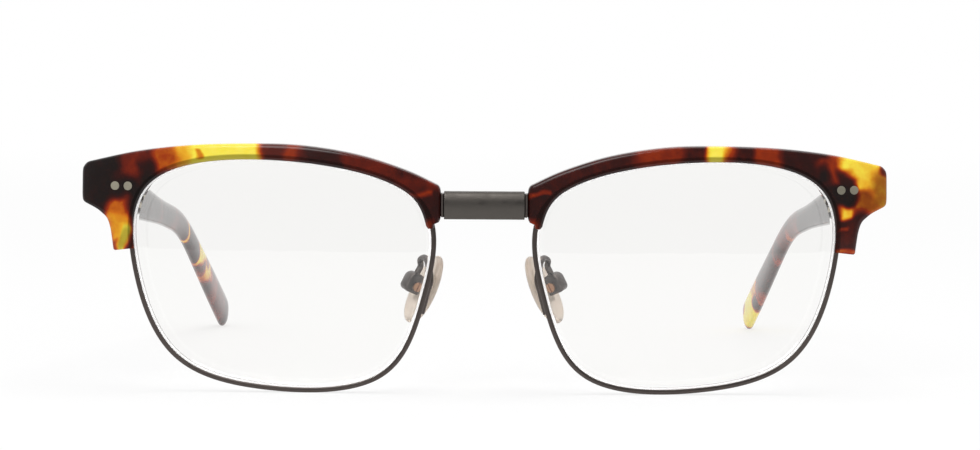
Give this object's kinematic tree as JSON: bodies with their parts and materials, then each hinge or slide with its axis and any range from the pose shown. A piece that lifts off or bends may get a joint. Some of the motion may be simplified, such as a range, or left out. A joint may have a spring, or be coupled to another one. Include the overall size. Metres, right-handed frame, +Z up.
{
  "type": "browline glasses",
  "caption": "Browline glasses with acetate brows over thin metal rims, clear lenses, temples that fold on riveted hinges, and nose pads that rock on wire arms.",
  "frame": {"origin": "under the middle of the glasses, on the surface that they stand on", "axes": "+X to the wearer's left, across the face; +Y back along the temples; +Z up"},
  "size_m": [0.141, 0.1492, 0.0434],
  "materials": {
    "acetate": "polished tortoiseshell, dark brown with amber patches",
    "gunmetal": "satin gunmetal",
    "lens": "clear and polished",
    "steel": "satin",
    "copper": "copper-coloured, satin",
    "silicone": "translucent, smooth"
  },
  "bodies": {
    "front": {"bridge_bar": "gunmetal", "bridge_cover": "gunmetal", "left_brow": "acetate", "right_brow": "acetate", "left_rim": "gunmetal", "right_rim": "gunmetal", "left_lens": "lens", "right_lens": "lens", "left_rim_lock": "gunmetal", "right_rim_lock": "gunmetal", "left_rim_screw": "steel", "right_rim_screw": "steel", "left_brow_screw": "steel", "right_brow_screw": "steel", "left_pad_arm": "gunmetal", "right_pad_arm": "gunmetal", "left_pad_box": "gunmetal", "right_pad_box": "gunmetal", "left_pad_screw": "copper", "right_pad_screw": "copper", "left_front_hinge": "steel", "right_front_hinge": "steel", "left_front_rivets": "steel", "right_front_rivets": "steel", "left_hinge_screw": "steel", "right_hinge_screw": "steel"},
    "left_temple": {"left_temple": "acetate", "left_temple_core": "steel", "left_temple_hinge": "steel", "left_temple_rivets": "steel"},
    "right_temple": {"right_temple": "acetate", "right_temple_core": "steel", "right_temple_hinge": "steel", "right_temple_rivets": "steel"},
    "left_pad": {"left_nose_pad": "silicone", "left_pad_insert": "steel"},
    "right_pad": {"right_nose_pad": "silicone", "right_pad_insert": "steel"}
  },
  "joints": [
    {"name": "left_temple_fold", "type": "hinge", "parent": "front", "child": "left_temple", "pos_m": [0.065, -0.06177, 0.0358], "axis": [0, 0, 1], "range_deg": [0, 85]},
    {"name": "right_temple_fold", "type": "hinge", "parent": "front", "child": "right_temple", "pos_m": [-0.065, -0.06177, 0.0358], "axis": [0, 0, -1], "range_deg": [0, 78]},
    {"name": "left_pad_rock", "type": "hinge", "parent": "front", "child": "left_pad", "pos_m": [0.0122, -0.06535, 0.01845], "axis": [0.4038, 0.8943, 0.1926], "range_deg": [-8, 8]},
    {"name": "right_pad_rock", "type": "hinge", "parent": "front", "child": "right_pad", "pos_m": [-0.0122, -0.06535, 0.01845], "axis": [0.4038, -0.8943, -0.1926], "range_deg": [-8, 8]}
  ]
}
